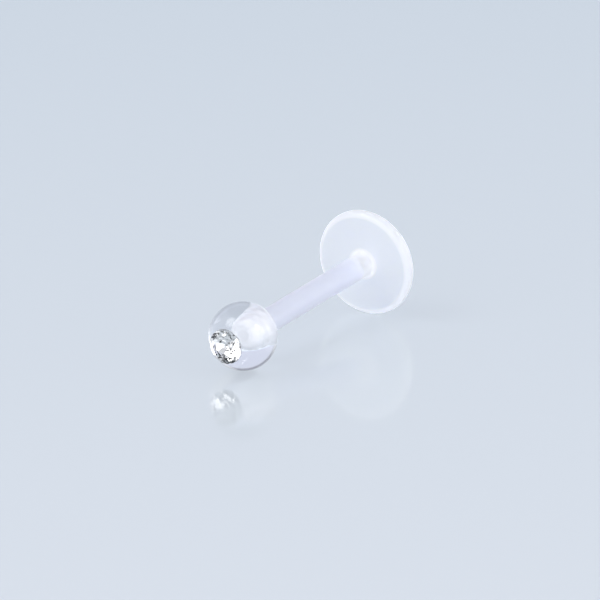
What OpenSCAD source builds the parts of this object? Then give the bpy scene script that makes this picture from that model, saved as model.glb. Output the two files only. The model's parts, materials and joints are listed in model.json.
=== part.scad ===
// Labret stud lying unworn: a clear ball with a set stone, on a moulded post with a flat disc back.
// Millimetres. +Z is up and the stud lies on z = 0, resting on its ball and on the rim of its disc.
// Its axis lies over the Y axis, with the stone towards -Y and the disc towards +Y.

/* [Ball] */
// Diameter of the clear ball
ball_d = 3; // [2.6:0.1:4]
// Diameter of the flat round the ball's rear hole
seat_d = 1.3; // [1.2:0.05:1.7]
// How far short of the ball's centre the rear hole stops
hole_short = 0.03; // [0:0.01:0.3]

/* [Post] */
// Diameter of the bar between the disc and the ball
bar_d = 1.1; // [1:0.05:1.2]
// Wearable length of the bar, from the disc's face to the bar's shoulder at the ball
bar_len = 8; // [5:0.5:16]
// Diameter of the flat disc that sits inside the lip
disc_d = 4.8; // [4:0.1:6]
// Thickness of the disc
disc_t = 0.6; // [0.6:0.05:1.2]
// Rounding of both edges of the disc's rim
rim_r = 0.28; // [0.1:0.02:0.28]
// Fillet where the bar grows out of the disc
root_r = 0.15; // [0.05:0.05:0.4]

/* [Threaded tip] */
// Diameter over the thread's crests
tip_d = 0.9; // [0.75:0.05:0.95]
// Depth of the thread
thread_depth = 0.09; // [0.03:0.01:0.15]
// Distance from one thread crest to the next
thread_pitch = 0.25; // [0.2:0.05:0.4]
// Plain neck between the shoulder and the first thread
neck_len = 0.1; // [0.05:0.05:0.3]
// Chamfer at the tip's end
tip_chamfer = 0.1; // [0.05:0.05:0.15]

/* [Stone] */
// Diameter of the round cut stone
stone_d = 1.55; // [1.2:0.05:1.8]
// Diameter of the table across its corners
table_d = 0.9; // [0.7:0.05:1]
// Height of the crown, from the girdle to the table
crown_h = 0.26; // [0.15:0.01:0.4]
// Height of the girdle's band
girdle_h = 0.1; // [0.04:0.01:0.15]
// Depth of the pavilion, from the girdle to its point
pavilion_h = 0.62; // [0.5:0.02:0.75]
// How far the underside of the girdle stands out of its seat in the ball
stone_proud = 0.03; // [0:0.01:0.1]

/* [Clearances] */
// Gap between the thread's crests and the wall of the ball's hole
thread_gap = 0.03; // [0.01:0.01:0.08]
// Gap between the tip's end and the bottom of the hole
end_gap = 0.05; // [0.02:0.01:0.2]
// Gap between the bar's shoulder and the ball's flat
seat_gap = 0.04; // [0.01:0.01:0.1]
// Film of glue between the stone's pavilion and its pocket
stone_gap = 0.03; // [0.01:0.01:0.06]

/* [Hidden] */
$fn = 96;

ball_r = ball_d / 2;
bar_r = bar_d / 2;
disc_r = disc_d / 2;
tip_r = tip_d / 2;
stone_r = stone_d / 2;
table_r = table_d / 2;

// Places along the stud's own axis, from the ball's centre, with the stone's side positive
seat_at = -sqrt(ball_r * ball_r - seat_d * seat_d / 4);
shoulder_at = seat_at - seat_gap;
face_at = shoulder_at - bar_len;
back_at = face_at - disc_t;
hole_end_at = -hole_short;
tip_end_at = hole_end_at - end_gap;

// The tip is a core with sharp rings of thread along it
core_r = tip_r - thread_depth;
hole_r = tip_r + thread_gap;
first_ring_at = shoulder_at + neck_len;
ring_count = floor((tip_end_at - tip_chamfer - first_ring_at) / thread_pitch);

// The stone stands on the edge where its seat leaves the ball
girdle_low_at = sqrt(ball_r * ball_r - stone_r * stone_r) + stone_proud;
girdle_top_at = girdle_low_at + girdle_h;
table_at = girdle_top_at + crown_h;
culet_at = girdle_low_at - pavilion_h;
// The pocket is a cone that keeps the glue's thickness from the pavilion
pavilion_slope = pavilion_h / stone_r;
pocket_at = culet_at - stone_gap * sqrt(1 + pavilion_slope * pavilion_slope);
pocket_h = ball_r - pocket_at;

// Eight main facets, with the points between them set on the planes of the mains
mains = 8;
half_step = 180 / mains;
// Where the star facets end, as a share of the way from the table's edge to the girdle
star_share = 0.5;
// Where the pavilion's lower facets end, as a share of the stone's radius
lower_share = 0.5;
table_edge_r = table_r * cos(half_step);
star_r = table_edge_r + star_share * (stone_r - table_edge_r);
star_at = table_at + (girdle_top_at - table_at) * (star_r * cos(half_step) - table_r) / (stone_r - table_r);
lower_r = lower_share * stone_r;
lower_at = culet_at + pavilion_h * lower_r * cos(half_step) / stone_r;
// Turn of the stone in its pocket
stone_turn = 28;

// Lying still: the ball and the disc's front edge both touch the ground
rest_span = -face_at + rim_r;
rest_r = disc_r - rim_r;
lie_tilt = atan2(rest_r, rest_span) - asin((ball_r - rim_r) / norm([rest_span, rest_r]));
reach_front = table_at * cos(lie_tilt) + table_r * sin(lie_tilt);
reach_back = (-back_at - rim_r) * cos(lie_tilt) + rest_r * sin(lie_tilt) + rim_r;
lie_y = (reach_front - reach_back) / 2;

// Takes a piece from the stud's own axis, with the stone up, to where it lies
module lay() {
    translate([0, lie_y, ball_r]) rotate([90 + lie_tilt, 0, 0]) children();
}

// Half section of the disc, with both rim edges rounded
module disc_section() {
    translate([0, back_at]) square([disc_r - rim_r, disc_t]);
    translate([0, back_at + rim_r]) square([disc_r, disc_t - 2 * rim_r]);
    translate([disc_r - rim_r, back_at + rim_r]) circle(r = rim_r);
    translate([disc_r - rim_r, face_at - rim_r]) circle(r = rim_r);
}

// Half section of the bar, with the fillet at its root
module bar_section() {
    translate([0, back_at]) square([bar_r, shoulder_at - back_at]);
    difference() {
        translate([0, back_at]) square([bar_r + root_r, disc_t + root_r]);
        translate([bar_r + root_r, face_at + root_r]) circle(r = root_r);
    }
}

// Outline of one ring of thread, rising from the core to its crest
function ring_points(start) = [[core_r, start], [tip_r, start + thread_pitch / 2]];

// Half section of the tip, which starts inside the bar
module tip_section() {
    polygon([
        [0, shoulder_at - neck_len],
        [core_r, shoulder_at - neck_len],
        for (i = [0 : ring_count - 1]) each ring_points(first_ring_at + i * thread_pitch),
        [core_r, first_ring_at + ring_count * thread_pitch],
        [core_r, tip_end_at - tip_chamfer],
        [core_r - tip_chamfer, tip_end_at],
        [0, tip_end_at]
    ]);
}

// Disc, bar and tip, moulded in one
module post() {
    color([0.88, 0.90, 0.98]) lay() rotate_extrude() {
        disc_section();
        bar_section();
        tip_section();
    }
}

// Cone that the stone is glued into, open at the front of the ball
module stone_pocket() {
    translate([0, 0, pocket_at]) cylinder(h = pocket_h, r1 = 0, r2 = pocket_h / pavilion_slope);
}

// Clear ball, drilled from behind for the tip and from the front for the stone
module ball() {
    color([0.86, 0.89, 0.95, 0.6]) lay() difference() {
        sphere(r = ball_r);
        translate([0, 0, seat_at - ball_r]) cylinder(h = ball_r, r = ball_r);
        translate([0, 0, seat_at - ball_r]) cylinder(h = ball_r + hole_end_at - seat_at, r = hole_r);
        stone_pocket();
    }
}

// Points of one level of the stone, with the first point turned by some half steps
function level(count, r, at, half_steps) = [
    for (i = [0 : count - 1])
        let (a = stone_turn + half_steps * half_step + i * 360 / count)
        [r * cos(a), r * sin(a), at]
];

// Number that runs round a level of the stone and starts again
function wrap(i, count) = (i + count) % count;

// Round cut: table, stars, crown mains, girdle, and a pavilion of lower facets and mains
module stone_cut() {
    points = concat(
        level(mains, table_r, table_at, 1),
        level(mains, star_r, star_at, 0),
        level(2 * mains, stone_r, girdle_top_at, 0),
        level(2 * mains, stone_r, girdle_low_at, 0),
        level(mains, lower_r, lower_at, 0),
        [[0, 0, culet_at]]
    );
    // Number of the first point of the stars, the girdle's top and underside, and the lower facets
    star = mains;
    top = 2 * mains;
    low = 4 * mains;
    lower = 6 * mains;
    culet = 7 * mains;
    faces = [
        [for (i = [1 : mains]) mains - i],
        for (i = [0 : mains - 1]) let (next = wrap(i + 1, mains), last = wrap(i - 1, mains)) each [
            [last, i, star + i],
            [i, star + next, top + 2 * i + 1, star + i],
            [star + i, top + 2 * i, top + wrap(2 * i - 1, 2 * mains)],
            [star + i, top + 2 * i + 1, top + 2 * i],
            [lower + i, low + wrap(2 * i - 1, 2 * mains), low + 2 * i],
            [lower + i, low + 2 * i, low + 2 * i + 1],
            [culet, lower + i, low + 2 * i + 1, lower + next]
        ],
        for (j = [0 : 2 * mains - 1]) let (next = wrap(j + 1, 2 * mains))
            [top + j, top + next, low + next, low + j]
    ];
    polyhedron(points = points, faces = faces);
}

// Cut stone, glued into the front of the ball
module stone() {
    color([0.95, 0.96, 1.0]) lay() stone_cut();
}

post();
ball();
stone();
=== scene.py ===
import json
import math

import bpy
from mathutils import Matrix, Vector


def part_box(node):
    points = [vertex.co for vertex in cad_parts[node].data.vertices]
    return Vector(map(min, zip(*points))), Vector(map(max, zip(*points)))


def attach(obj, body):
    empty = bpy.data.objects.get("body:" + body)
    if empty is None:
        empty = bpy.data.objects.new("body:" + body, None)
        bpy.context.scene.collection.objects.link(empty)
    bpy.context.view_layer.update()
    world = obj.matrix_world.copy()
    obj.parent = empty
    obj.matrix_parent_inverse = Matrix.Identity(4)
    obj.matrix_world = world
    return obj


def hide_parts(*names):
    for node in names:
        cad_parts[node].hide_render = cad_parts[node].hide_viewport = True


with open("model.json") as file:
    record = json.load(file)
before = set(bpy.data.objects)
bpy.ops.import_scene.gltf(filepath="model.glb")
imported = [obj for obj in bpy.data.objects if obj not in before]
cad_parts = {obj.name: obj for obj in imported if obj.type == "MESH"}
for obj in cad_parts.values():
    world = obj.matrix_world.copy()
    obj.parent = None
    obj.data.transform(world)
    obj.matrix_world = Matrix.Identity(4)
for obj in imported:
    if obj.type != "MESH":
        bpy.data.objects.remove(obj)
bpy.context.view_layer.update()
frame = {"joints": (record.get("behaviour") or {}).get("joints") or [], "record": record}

# The post
# A flat round disc, a bar and a threaded tip, moulded in one from a milky, slightly lavender plastic that
# lets light through. The disc sits inside the lip, and the ball screws onto the tip.
mm = 0.001
mounts = {mount["name"]: mount for mount in frame["record"]["mounts"]}
lip_post = mounts["lip_post"]
disc_back = mounts["disc_back"]


def radius_of(node):
    """Radius of a round node, rounded to 0.01 mm because short chords make its mesh a little narrow."""
    low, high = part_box(node)
    return round((high.x - low.x) / 2 / mm, 2) * mm


# The stud's own axis points out of the ball's front, and places along it are counted from the ball's centre
ball_r = radius_of("ball")
forward = -Vector(frame["joints"][0]["axis"]).normalized()
back_point = Vector(disc_back["pos_m"])
ball_centre = back_point + forward * (ball_r - back_point.z) / forward.z
# Takes a piece from an upright axis, with the stone's side up, to where the stud lies
lay = Matrix.Translation(ball_centre) @ forward.to_track_quat("Z", "X").to_matrix().to_4x4()

# A size that the frame doesn't give is written in millimetres, as the solids have it
bar_r = lip_post["dims"]["r_mm"] * mm
bar_wall = lip_post["dims"]["length_mm"] * mm
shoulder_at = (Vector(lip_post["pos_m"]) - ball_centre).dot(forward) + bar_wall / 2
shoulder_r = 0.04 * mm
back_at = (back_point - ball_centre).dot(forward)
disc_r = radius_of("post")
disc_t = 0.6 * mm
face_at = back_at + disc_t
rim_r = 0.28 * mm
root_r = 0.15 * mm

core_r = 0.36 * mm
core_corner_r = 0.02 * mm
neck_len = 0.1 * mm
tip_chamfer = 0.1 * mm
tip_end_at = -0.08 * mm
chamfer_at = tip_end_at - tip_chamfer
thread_pitch = 0.25 * mm
thread_depth = 0.09 * mm
thread_runout = 0.04 * mm
thread_from = shoulder_at + neck_len
thread_to = chamfer_at - thread_runout

# How finely a turned piece is made
lathe_sides = 192
ring_spacing = thread_pitch / 12
sharp_edge = math.radians(35)


def rounded(corners, steps=8):
    """Outline through corners of (radius, place, fillet), with an arc in each corner that has a fillet."""
    points = []
    for number, (radius, place, fillet) in enumerate(corners):
        corner = Vector((radius, place))
        if fillet == 0:
            points.append(corner)
            continue
        before = (Vector(corners[number - 1][:2]) - corner).normalized()
        after = (Vector(corners[number + 1][:2]) - corner).normalized()
        half = before.angle(after) / 2
        middle = corner + (before + after).normalized() * fillet / math.sin(half)
        start = corner + before * fillet / math.tan(half) - middle
        sweep = (math.pi - 2 * half) * (1 if before.cross(after) < 0 else -1)
        for step in range(steps + 1):
            turn = Matrix.Rotation(sweep * step / steps, 2)
            points.append(middle + turn @ start)
    return points


def wall(radius, start, end):
    """Outline on from the start of a straight wall, with points close enough together to carry a thread."""
    count = max(1, round(abs(end - start) / ring_spacing))
    return [Vector((radius, start + (end - start) * step / count)) for step in range(1, count + 1)]


def lathe(name, outline):
    """Closed solid turned from an outline of (radius, place) that begins and ends on the stud's axis."""
    vertices = []
    faces = []
    rings = []
    for radius, place in outline:
        if radius == 0:
            rings.append([len(vertices)])
            vertices.append((0, 0, place))
            continue
        rings.append(range(len(vertices), len(vertices) + lathe_sides))
        for side in range(lathe_sides):
            turn = 2 * math.pi * side / lathe_sides
            vertices.append((radius * math.cos(turn), radius * math.sin(turn), place))
    for low, high in zip(rings, rings[1:]):
        for side in range(lathe_sides):
            after = (side + 1) % lathe_sides
            below = [low[side % len(low)], low[after % len(low)]]
            above = [high[after % len(high)], high[side % len(high)]]
            # At a pole two corners are the same point, which is then kept once
            faces.append(list(dict.fromkeys(below + above)))
    mesh = bpy.data.meshes.new(name)
    mesh.from_pydata(vertices, [], faces)
    mesh.validate()
    mesh.shade_smooth()
    mesh.set_sharp_from_angle(angle=sharp_edge)
    piece = bpy.data.objects.new(name, mesh)
    bpy.context.scene.collection.objects.link(piece)
    return piece


def set_inputs(node, values):
    """Sets a node's inputs, with a link where the value is a socket and an alpha of 1 for each colour."""
    for key, value in values.items():
        socket = node.inputs[key]
        if isinstance(value, bpy.types.NodeSocket):
            node.id_data.links.new(value, socket)
        elif socket.type == "RGBA":
            socket.default_value = (*value, 1)
        else:
            socket.default_value = value


def adder(tree):
    """Gives the function that adds a node to a tree, with its inputs and its settings."""
    def add(kind, inputs=(), **settings):
        node = tree.nodes.new(kind)
        for setting, value in settings.items():
            setattr(node, setting, value)
        set_inputs(node, dict(inputs))
        return node
    return add


def thread_tree():
    """Geometry nodes that raise a helical thread on a straight round wall about the Z axis."""
    tree = bpy.data.node_groups.new("helical thread", "GeometryNodeTree")
    tree.interface.new_socket("Geometry", in_out="INPUT", socket_type="NodeSocketGeometry")
    for name in ("Wall radius", "Pitch", "Rise", "From", "To"):
        tree.interface.new_socket(name, in_out="INPUT", socket_type="NodeSocketFloat")
    for name in ("Material", "Wall material"):
        tree.interface.new_socket(name, in_out="INPUT", socket_type="NodeSocketMaterial")
    tree.interface.new_socket("Geometry", in_out="OUTPUT", socket_type="NodeSocketGeometry")
    add = adder(tree)
    # Points this close to the wall or to an end of the thread count as on it
    slack = 0.001 * mm
    full_turn = 2 * math.pi

    def calculate(operation, *values, clamp=False):
        node = add("ShaderNodeMath", dict(enumerate(values)), operation=operation, use_clamp=clamp)
        return node.outputs[0]

    given = add("NodeGroupInput").outputs
    place = add("ShaderNodeSeparateXYZ", {0: add("GeometryNodeInputPosition").outputs[0]}).outputs
    square_x = calculate("POWER", place["X"], 2)
    square_y = calculate("POWER", place["Y"], 2)
    radius = calculate("SQRT", calculate("ADD", square_x, square_y))

    # The ridge rises and falls once in a pitch, and its phase follows the turn about the axis
    turn = calculate("DIVIDE", calculate("ARCTAN2", place["Y"], place["X"]), full_turn)
    along = calculate("DIVIDE", calculate("SUBTRACT", place["Z"], given["From"]), given["Pitch"])
    phase = calculate("FRACT", calculate("SUBTRACT", along, turn))
    off_crest = calculate("ABSOLUTE", calculate("SUBTRACT", calculate("MULTIPLY", phase, 2), 1))
    ridge = calculate("SUBTRACT", 1, off_crest)

    # Both ends of the thread run out over half a pitch
    left = calculate("DIVIDE", calculate("SUBTRACT", given["To"], place["Z"]), given["Pitch"])
    run_in = calculate("MULTIPLY", along, 2, clamp=True)
    run_out = calculate("MULTIPLY", left, 2, clamp=True)
    height = calculate("MULTIPLY", ridge, calculate("MULTIPLY", run_in, run_out))
    rise = calculate("MULTIPLY", height, given["Rise"])

    off_wall = calculate("ABSOLUTE", calculate("SUBTRACT", radius, given["Wall radius"]))
    grown = calculate("ADD", 1, calculate("DIVIDE", rise, given["Wall radius"]))
    position = add("ShaderNodeCombineXYZ", {
        "X": calculate("MULTIPLY", place["X"], grown),
        "Y": calculate("MULTIPLY", place["Y"], grown),
        "Z": place["Z"],
    })
    moved = add("GeometryNodeSetPosition", {
        "Geometry": given["Geometry"],
        "Selection": calculate("LESS_THAN", off_wall, slack),
        "Position": position.outputs[0],
    })
    realized = add("GeometryNodeRealizeInstances", {"Geometry": moved.outputs[0]})
    coated = add("GeometryNodeSetMaterial", {"Geometry": realized.outputs[0], "Material": given["Material"]})

    # The threaded wall has a material of its own
    reach = calculate("ADD", calculate("ADD", given["Wall radius"], given["Rise"]), slack)
    within_wall = calculate("LESS_THAN", radius, reach)
    before_end = calculate("LESS_THAN", place["Z"], calculate("ADD", given["To"], slack))
    after_start = calculate("GREATER_THAN", place["Z"], calculate("SUBTRACT", given["From"], slack))
    cut = add("GeometryNodeSetMaterial", {
        "Geometry": coated.outputs[0],
        "Selection": calculate("MULTIPLY", within_wall, calculate("MULTIPLY", before_end, after_start)),
        "Material": given["Wall material"],
    })
    add("NodeGroupOutput", {"Geometry": cut.outputs[0]})
    return tree


helical_thread = thread_tree()


def finish_turned(piece, body, thread):
    """Cuts the thread, lays the piece where it rests as a plain mesh, and hands it to its body."""
    cutter = piece.modifiers.new("thread", "NODES")
    cutter.node_group = helical_thread
    sockets = helical_thread.interface.items_tree
    identifiers = {item.name: item.identifier for item in sockets if item.in_out == "INPUT"}
    for name, value in thread.items():
        cutter[identifiers[name]] = value
    seen = piece.evaluated_get(bpy.context.evaluated_depsgraph_get())
    mesh = bpy.data.meshes.new_from_object(seen)
    piece.modifiers.remove(cutter)
    mesh.transform(lay)
    piece.data = mesh
    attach(piece, body)


def plain_material(name):
    """A material and its Principled shader, ready to be dressed."""
    material = bpy.data.materials.new(name)
    material.use_nodes = True
    return material, material.node_tree.nodes["Principled BSDF"]


def own_axis(add):
    """Radius from the stud's axis, place along it, and both as one point, of the point that is shaded."""
    own = add("ShaderNodeMapping", {
        "Vector": add("ShaderNodeTexCoord").outputs["Object"],
        "Location": lay.to_translation(),
        "Rotation": lay.to_euler(),
    }, vector_type="TEXTURE")
    split = add("ShaderNodeSeparateXYZ", {0: own.outputs[0]}).outputs
    across = add("ShaderNodeCombineXYZ", {"X": split["X"], "Y": split["Y"]})
    radius = add("ShaderNodeVectorMath", {0: across.outputs[0]}, operation="LENGTH")
    return radius.outputs["Value"], split["Z"], own.outputs[0]


def ramp(add, value, start, end, course="SMOOTHSTEP"):
    """Runs from 0 at the start to 1 at the end."""
    limits = {"Value": value, "From Min": start, "From Max": end}
    return add("ShaderNodeMapRange", limits, interpolation_type=course).outputs[0]


def blend(add, share, first, second):
    """Colour between two, each of them a colour or a socket."""
    mixed = add("ShaderNodeMix", {"Factor": share, "A": first, "B": second}, data_type="RGBA")
    return mixed.outputs["Result"]


# Colours of the plastic, and the faint painted glow, a painted light that stands for the light which it
# gathers and passes on and lifts its shaded sides
# The bar is painted darker than the disc's face: painted shade that offsets the stronger light on the bar.
# Its clouds are the plastic's own
bar_painted_shade_tone = (0.58, 0.61, 0.74)
bar_cloud_painted_shade_tone = (0.61, 0.64, 0.77)
face_tone = (0.81, 0.85, 0.95)
# Painted highlight: the bar's root is painted near white
root_painted_light_tone = (0.95, 0.95, 0.99)
# Painted light: the tip is painted near white, so that it looks bright inside the ball
tip_painted_light_tone = (0.98, 0.98, 1.0)
# Painted light: the rim is painted whiter than the face, for the light that catches its edge
rim_painted_light_tone = (0.85, 0.88, 0.95)
# Painted glow: emission on the plastic, which is no lamp, stronger at the root and the rim
bar_painted_glow = (0.125, 0.125, 0.135)
face_painted_glow = (0.075, 0.075, 0.08)
root_painted_glow = (0.17, 0.17, 0.18)
rim_painted_glow = (0.195, 0.195, 0.20)
clouds_in_a_metre = 900
# Where each place starts to take over from its neighbour, and where it wholly has. The root, the tip and the
# rim take over with their painted light
disc_start = (face_at + 0.1 * mm, face_at)
root_start = (face_at + 1.2 * mm, face_at + 0.2 * mm)
root_end = (bar_r * 1.1, bar_r * 1.4)
tip_start = (shoulder_at, shoulder_at + 0.2 * mm)
rim_start = (disc_r - rim_r * 1.1, disc_r - rim_r * 0.5)


def milky_plastic():
    """Moulded plastic: cloudy and a little lavender, painted whiter and brighter at the rim, the bar's root
    and the tip as painted light, painted darker on the bar as painted shade, and with a painted glow.
    """
    material, shader = plain_material("milky moulded plastic")
    add = adder(material.node_tree)
    radius, place, own = own_axis(add)
    noise = add("ShaderNodeTexNoise", {
        "Vector": own,
        "Scale": clouds_in_a_metre,
        "Detail": 3,
        "Roughness": 0.5,
    })
    on_disc = ramp(add, place, *disc_start)
    near_root = ramp(add, place, *root_start)
    off_bar = ramp(add, radius, *root_end)
    on_tip = ramp(add, place, *tip_start)
    on_rim = ramp(add, radius, *rim_start)

    def bar_to_face(bar, face, root):
        plain = blend(add, on_disc, bar, face)
        return blend(add, off_bar, blend(add, near_root, plain, root), plain)

    # The bar's clouded tone, painted darker as painted shade
    bar = blend(add, noise.outputs["Fac"], bar_painted_shade_tone, bar_cloud_painted_shade_tone)
    tone = bar_to_face(bar, face_tone, root_painted_light_tone)
    # Painted light on the tip
    tone = blend(add, on_tip, tone, tip_painted_light_tone)
    # Painted light on the rim
    tone = blend(add, on_rim, tone, rim_painted_light_tone)
    # Painted glow, laid out like the tone
    painted_glow = bar_to_face(bar_painted_glow, face_painted_glow, root_painted_glow)
    painted_glow = blend(add, on_rim, painted_glow, rim_painted_glow)
    set_inputs(shader, {
        "Base Color": tone,
        "Emission Color": painted_glow,
        "Emission Strength": 1,
        "Subsurface Weight": 1,
        "Subsurface Radius": (1, 1, 1.2),
        "Subsurface Scale": 4 * mm,
        "Roughness": 0.3,
        "IOR": 1.42,
        "Transmission Weight": 0.5,
        "Sheen Weight": 0.2,
        "Sheen Roughness": 0.3,
    })
    return material


post = lathe("post_moulding", [
    *rounded([
        (0, back_at, 0),
        (disc_r, back_at, rim_r),
        (disc_r, face_at, rim_r),
        (bar_r, face_at, root_r),
        (bar_r, shoulder_at, shoulder_r),
        (core_r, shoulder_at, core_corner_r),
        (core_r, thread_from, 0),
    ]),
    *wall(core_r, thread_from, chamfer_at),
    Vector((core_r - tip_chamfer, tip_end_at)),
    Vector((0, tip_end_at)),
])
plastic = milky_plastic()
finish_turned(post, "post", {
    "Wall radius": core_r,
    "Pitch": thread_pitch,
    "Rise": thread_depth,
    "From": thread_from,
    "To": thread_to,
    "Material": plastic,
    "Wall material": plastic,
})
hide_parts("post")

# The ball
# Clear acrylic, turned and polished. Its back is flat round a tapped hole for the post's tip, and its front
# has a cone drilled into it for the stone.
seat_r = 0.65 * mm
seat_at = -math.sqrt(ball_r ** 2 - seat_r ** 2)
hole_r = 0.48 * mm
hole_end_at = -0.03 * mm
hole_end_r = 0.2 * mm
hole_wall_from = hole_end_at - hole_end_r
hole_thread_depth = 0.025 * mm
stone_r = 0.775 * mm
girdle_proud = 0.03 * mm
pavilion_h = 0.62 * mm
glue = 0.03 * mm
girdle_low_at = math.sqrt(ball_r ** 2 - stone_r ** 2) + girdle_proud
culet_at = girdle_low_at - pavilion_h
pavilion_slope = pavilion_h / stone_r
pocket_at = culet_at - glue * math.sqrt(1 + pavilion_slope ** 2)
# Where the pocket's cone and the flat leave the ball, as angles off the stud's axis from the ball's centre
cone_tilt = math.atan(pavilion_slope)
mouth_angle = math.asin(-pocket_at * math.cos(cone_tilt) / ball_r) + math.pi / 2 - cone_tilt
seat_angle = math.pi - math.asin(seat_r / ball_r)


def sphere_arc(start, end, count=96):
    """Outline over the ball, between two angles off the front of the stud's axis."""
    angles = [start + (end - start) * step / count for step in range(count + 1)]
    return [Vector((ball_r * math.sin(angle), ball_r * math.cos(angle))) for angle in angles]


acrylic_ior = 1.49


def clear_acrylic():
    """Polished clear acrylic, with hardly any colour of its own."""
    material, shader = plain_material("clear acrylic")
    set_inputs(shader, {
        "Base Color": (0.96, 0.965, 1),
        "Transmission Weight": 1,
        "Roughness": 0,
        "IOR": acrylic_ior,
    })
    return material


def tapped_acrylic():
    """The same acrylic where the tap left it frosted, with a faint painted glow, a painted light for the
    light that it catches.
    """
    material, shader = plain_material("tapped acrylic")
    set_inputs(shader, {
        "Base Color": (0.98, 0.985, 1),
        "Transmission Weight": 0.5,
        "Roughness": 0.25,
        "IOR": acrylic_ior,
        # Painted light: a faint glow on a wall that is no lamp
        "Emission Color": (0.90, 0.94, 1),
        "Emission Strength": 0.17,
    })
    return material


def milky_glue():
    """Film of glue that whitened as it set, on the wall of the stone's pocket."""
    material, shader = plain_material("milky glue")
    set_inputs(shader, {
        "Base Color": (0.97, 0.975, 1),
        "Transmission Weight": 0.3,
        "Roughness": 0.4,
        "IOR": acrylic_ior,
    })
    return material


ball = lathe("ball_acrylic", [
    *rounded([(0, hole_end_at, 0), (hole_r, hole_end_at, hole_end_r), (hole_r, seat_at, 0)])[:-1],
    *wall(hole_r, hole_wall_from, seat_at),
    *sphere_arc(seat_angle, mouth_angle),
    Vector((0, pocket_at)),
])
finish_turned(ball, "ball", {
    "Wall radius": hole_r,
    "Pitch": thread_pitch,
    "Rise": hole_thread_depth,
    "From": seat_at,
    "To": hole_end_at,
    "Material": clear_acrylic(),
    "Wall material": tapped_acrylic(),
})
# The last ring of faces is the wall of the stone's pocket
ball.data.materials.append(milky_glue())
for face in list(ball.data.polygons)[-lathe_sides:]:
    face.material_index = len(ball.data.materials) - 1
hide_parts("ball")

# The stone
# A round cut crystal with a mirror foil on its pavilion, glued into the front of the ball and standing a
# little proud of it.
girdle_h = 0.1 * mm
crown_h = 0.26 * mm
table_r = 0.45 * mm
girdle_top_at = girdle_low_at + girdle_h
table_at = girdle_top_at + crown_h
mains = 8
half_step = math.pi / mains
stone_turn = math.radians(28)
# Where the stars end, as a share of the way from the table's edge to the girdle
star_share = 0.5
# Where the pavilion's lower facets end, as a share of the stone's radius
lower_share = 0.5
table_edge_r = table_r * math.cos(half_step)
star_r = table_edge_r + star_share * (stone_r - table_edge_r)
star_drop = (star_r * math.cos(half_step) - table_r) / (stone_r - table_r)
star_at = table_at - crown_h * star_drop
lower_r = lower_share * stone_r
lower_at = culet_at + pavilion_h * lower_r * math.cos(half_step) / stone_r


def level(count, radius, place, half_steps):
    """Corners of one level of the stone, the first of them turned by some half steps."""
    first = stone_turn + half_steps * half_step
    turns = [first + 2 * math.pi * corner / count for corner in range(count)]
    return [(radius * math.cos(turn), radius * math.sin(turn), place) for turn in turns]


def cut_stone(name):
    """Round cut: table, stars, crown mains, girdle, and a foiled pavilion of lower facets and mains."""
    corners = [
        *level(mains, table_r, table_at, 1),
        *level(mains, star_r, star_at, 0),
        *level(2 * mains, stone_r, girdle_top_at, 0),
        *level(2 * mains, stone_r, girdle_low_at, 0),
        *level(mains, lower_r, lower_at, 0),
        (0, 0, culet_at),
    ]
    # Number of the first corner of each level
    star = mains
    top = 2 * mains
    low = 4 * mains
    lower = 6 * mains
    culet = 7 * mains
    crown = [list(range(mains))]
    pavilion = []
    for i in range(mains):
        after = (i + 1) % mains
        before = (i - 1) % mains
        girdle_before = (2 * i - 1) % (2 * mains)
        crown += [
            [before, star + i, i],
            [i, star + i, top + 2 * i + 1, star + after],
            [star + i, top + girdle_before, top + 2 * i],
            [star + i, top + 2 * i, top + 2 * i + 1],
        ]
        pavilion += [
            [lower + i, low + 2 * i, low + girdle_before],
            [lower + i, low + 2 * i + 1, low + 2 * i],
            [culet, lower + after, low + 2 * i + 1, lower + i],
        ]
    for i in range(2 * mains):
        after = (i + 1) % (2 * mains)
        crown.append([top + i, low + i, low + after, top + after])
    mesh = bpy.data.meshes.new(name)
    mesh.from_pydata(corners, [], crown + pavilion)
    mesh.validate()
    # The crown and the girdle are bare crystal, and the pavilion is foiled
    for face in mesh.polygons:
        face.material_index = 0 if face.index < len(crown) else 1
    mesh.transform(lay)
    piece = bpy.data.objects.new(name, mesh)
    bpy.context.scene.collection.objects.link(piece)
    return piece


def crystal():
    """Polished crystal glass."""
    material, shader = plain_material("crystal")
    set_inputs(shader, {
        "Base Color": (1, 1, 1),
        "Transmission Weight": 1,
        "Roughness": 0,
        "IOR": 1.56,
    })
    return material


def mirror_foil():
    """Silver foil behind the pavilion, seen through the crystal."""
    material, shader = plain_material("mirror foil")
    set_inputs(shader, {
        "Base Color": (0.95, 0.95, 0.95),
        "Metallic": 1,
        "Roughness": 0.02,
    })
    return material


stone = cut_stone("stone_cut")
stone.data.materials.append(crystal())
stone.data.materials.append(mirror_foil())
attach(stone, "ball")
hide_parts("stone")

# The studio
# A glossy pale floor, light from all round with a few bright panels and dark cards, and a long lens that
# looks down a little at the ball's front.

# The camera's place, in degrees and metres, is fitted to the outlines of the stud in the photograph
camera_azimuth = 33.77
camera_elevation = 17.26
camera_distance = 0.2964
camera_aim = Vector((-0.003557, 0.005487, 0))
lens_mm = 400
sensor_mm = 36
nearest_seen = 0.01
farthest_seen = 10


def direction(azimuth, elevation):
    """Unit vector towards a place in the studio, from its azimuth and elevation in degrees.

    Azimuth 0 is in front of the ball, and 90 on its left, at +X.
    """
    turn = math.radians(azimuth)
    rise = math.radians(elevation)
    return Vector((math.sin(turn) * math.cos(rise), -math.cos(turn) * math.cos(rise), math.sin(rise)))


floor_half = 1.5
# Painted shade: the floor is painted darker away from the camera
near_tone = (0.207, 0.223, 0.242)
far_tone = (0.159, 0.180, 0.199)
# Where the near tone ends and the far tone starts, in metres from the stud's middle, away from the camera;
# the floor is painted darker away from the camera, as painted shade
tone_change = (-0.04, 0.06)
# Ripples, which lie across the view: how many in a metre across it and along it, and how high they are
ripples_across = 400
ripples_along = 1600
ripple_height = 0.0025 * mm


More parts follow.
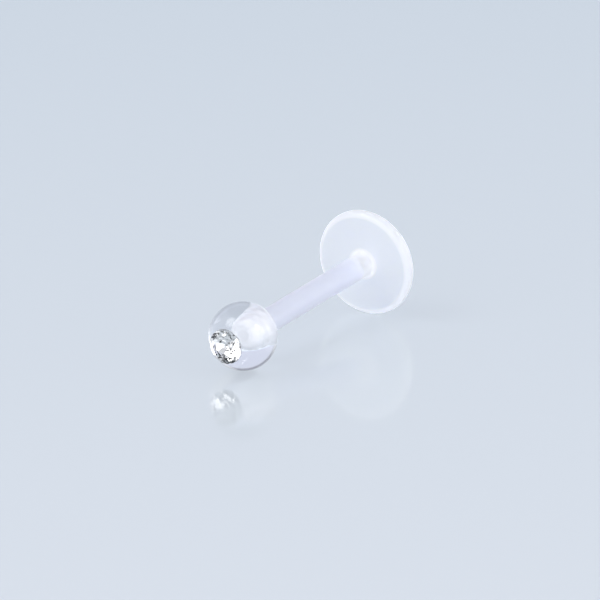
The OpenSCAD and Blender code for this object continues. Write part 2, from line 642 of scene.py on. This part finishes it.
def pale_floor():
    """Glossy pale blue-grey sheet, lit a little from within, painted darker away from the camera as painted
    shade, and with a faint ripple.
    """
    material, shader = plain_material("pale floor")
    add = adder(material.node_tree)
    own = add("ShaderNodeTexCoord").outputs["Object"]
    away = add("ShaderNodeVectorMath", {
        0: own,
        1: direction(camera_azimuth + 180, 0),
    }, operation="DOT_PRODUCT")
    distance = ramp(add, away.outputs["Value"], *tone_change, course="LINEAR")
    tone = blend(add, distance, near_tone, far_tone)
    ripple_place = add("ShaderNodeMapping", {
        "Vector": own,
        "Rotation": (0, 0, math.radians(-camera_azimuth)),
        "Scale": (ripples_across, ripples_along, 1),
    })
    ripple = add("ShaderNodeTexNoise", {"Vector": ripple_place.outputs[0], "Scale": 1, "Detail": 2})
    bump = add("ShaderNodeBump", {"Height": ripple.outputs["Fac"], "Distance": ripple_height})
    set_inputs(shader, {
        "Base Color": tone,
        "Emission Color": tone,
        "Emission Strength": 2,
        "Roughness": 0.07,
        "Normal": bump.outputs["Normal"],
    })
    return material


floor_corners = [(x * floor_half, y * floor_half, 0) for x, y in ((-1, -1), (1, -1), (1, 1), (-1, 1))]
floor_mesh = bpy.data.meshes.new("floor")
floor_mesh.from_pydata(floor_corners, [], [[0, 1, 2, 3]])
floor_mesh.materials.append(pale_floor())
floor = bpy.data.objects.new("floor", floor_mesh)
bpy.context.scene.collection.objects.link(floor)

# Light comes from all round, and these hang in front of it, the later over the earlier. Each row gives a
# colour, the azimuth and elevation of its middle, and how many degrees off its middle its edge starts and
# ends. The panels in front and at the side and the black card over the front give the stone its facets.
sweep_tone = (0.86, 0.88, 0.93)
black = (0.01, 0.01, 0.01)
panels = [
    ((2.2, 2.2, 2.22), -8, 0, 25, 38),  # Panel in front
    ((2.2, 2.2, 2.22), 70, 18, 20, 25),  # Panel at the side
    ((0.68, 0.69, 0.73), 0, 90, 30, 60),  # Sheet overhead
    ((2.2, 2.2, 2.25), 116, -5, 20, 40),  # Low panel at the side
    ((5.5, 5.5, 5.6), -38, 50, 6, 20),  # Main lamp
    ((4, 4, 4.1), 96, 36, 4, 12),  # Second lamp
    ((0.36, 0.36, 0.43), 236, 36, 26, 44),  # Grey card behind, over the backdrop
    ((0.68, 0.72, 0.84), camera_azimuth + 180, -camera_elevation, 58, 63),  # Backdrop
    (black, 18, 65, 18, 21),  # Black card over the front
    (black, camera_azimuth, camera_elevation, 18, 21),  # Dark side with the camera
]


def studio_light():
    """Light from all round, with the panels and cards hung over it."""
    world = bpy.data.worlds.new("studio light")
    world.use_nodes = True
    add = adder(world.node_tree)
    # In a world, the Generated coordinate is the direction in which a ray looks
    towards = add("ShaderNodeTexCoord").outputs["Generated"]
    light = sweep_tone
    for colour, azimuth, elevation, edge_start, edge_end in panels:
        dot = add("ShaderNodeVectorMath", {
            0: towards,
            1: direction(azimuth, elevation),
        }, operation="DOT_PRODUCT")
        outside = math.cos(math.radians(edge_end))
        inside = math.cos(math.radians(edge_start))
        light = blend(add, ramp(add, dot.outputs["Value"], outside, inside), light, colour)
    set_inputs(world.node_tree.nodes["Background"], {"Color": light})
    return world


bpy.context.scene.world = studio_light()

to_camera = direction(camera_azimuth, camera_elevation)
camera = bpy.data.objects.new("camera", bpy.data.cameras.new("camera"))
camera.data.lens = lens_mm
camera.data.sensor_width = sensor_mm
camera.data.clip_start = nearest_seen
camera.data.clip_end = farthest_seen
camera.location = camera_aim + to_camera * camera_distance
camera.rotation_euler = to_camera.to_track_quat("Z", "Y").to_euler()
bpy.context.scene.collection.objects.link(camera)
bpy.context.scene.camera = camera
bpy.context.scene.view_settings.view_transform = "Standard"
